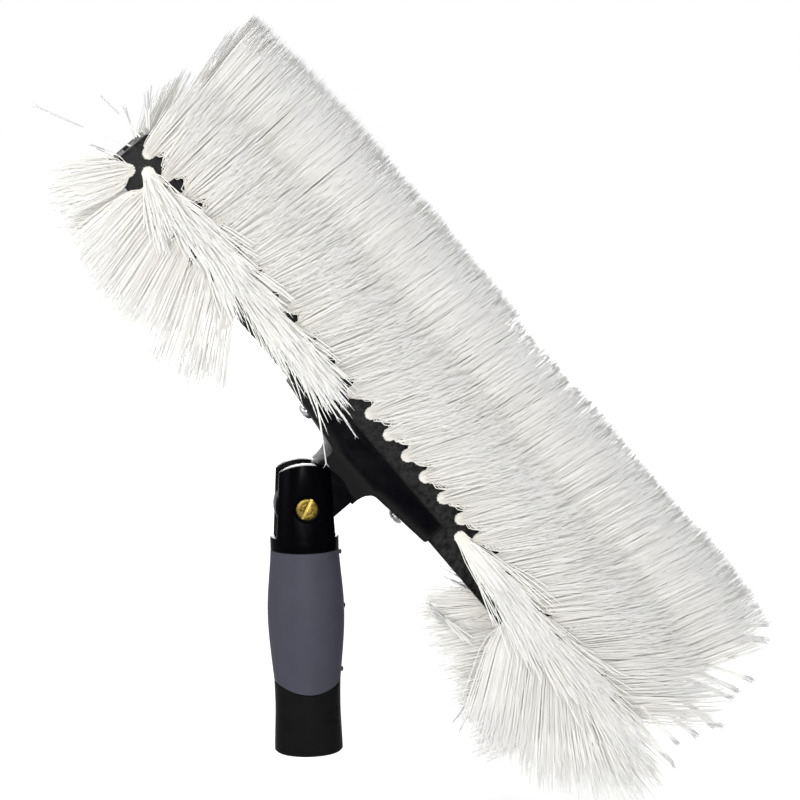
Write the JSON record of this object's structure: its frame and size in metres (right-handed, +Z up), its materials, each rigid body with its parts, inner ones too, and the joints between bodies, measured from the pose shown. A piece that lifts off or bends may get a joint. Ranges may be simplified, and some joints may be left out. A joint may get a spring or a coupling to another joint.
{
  "type": "window cleaning brush",
  "caption": "Long-bristled window brush on a tilting moulded bracket, with a soft-grip handle and an open pole socket.",
  "frame": {"origin": "centre of the pole socket's mouth, in the plane of the handle's foot", "axes": "+Z up the handle's axis towards the head, +X the way the head leans at rest, +Y along the pivot screw from its slotted head to its nut"},
  "size_m": [0.3263, 0.1574, 0.356],
  "materials": {
    "black_plastic": "satin black moulded plastic",
    "block_plastic": "slightly rough black moulded plastic",
    "soft_grip": "matt slate grey soft-touch rubber",
    "brass": "machined brass",
    "zinc_steel": "zinc-plated steel",
    "white_nylon": "white flagged nylon filament"
  },
  "bodies": {
    "handle": {"handle_body": "black_plastic", "grip_sleeve": "soft_grip", "pivot_screw": "brass", "pivot_nut": "zinc_steel"},
    "head": {"bracket": "black_plastic", "bracket_screw_upper": "zinc_steel", "bracket_screw_lower": "zinc_steel", "brush_block": "block_plastic", "centre_row": "white_nylon", "near_face_row": "white_nylon", "far_face_row": "white_nylon", "near_edge_row": "white_nylon", "far_edge_row": "white_nylon", "near_side_row_upper": "white_nylon", "near_side_row_lower": "white_nylon", "far_side_row_upper": "white_nylon", "far_side_row_lower": "white_nylon", "near_back_row_upper": "white_nylon", "near_back_row_lower": "white_nylon", "far_back_row_upper": "white_nylon", "far_back_row_lower": "white_nylon"}
  },
  "joints": [
    {"name": "head_tilt", "type": "hinge", "parent": "handle", "child": "head", "pos_m": [0, 0, 0.114], "axis": [0, 1, 0], "range_deg": [-141, 39]}
  ]
}
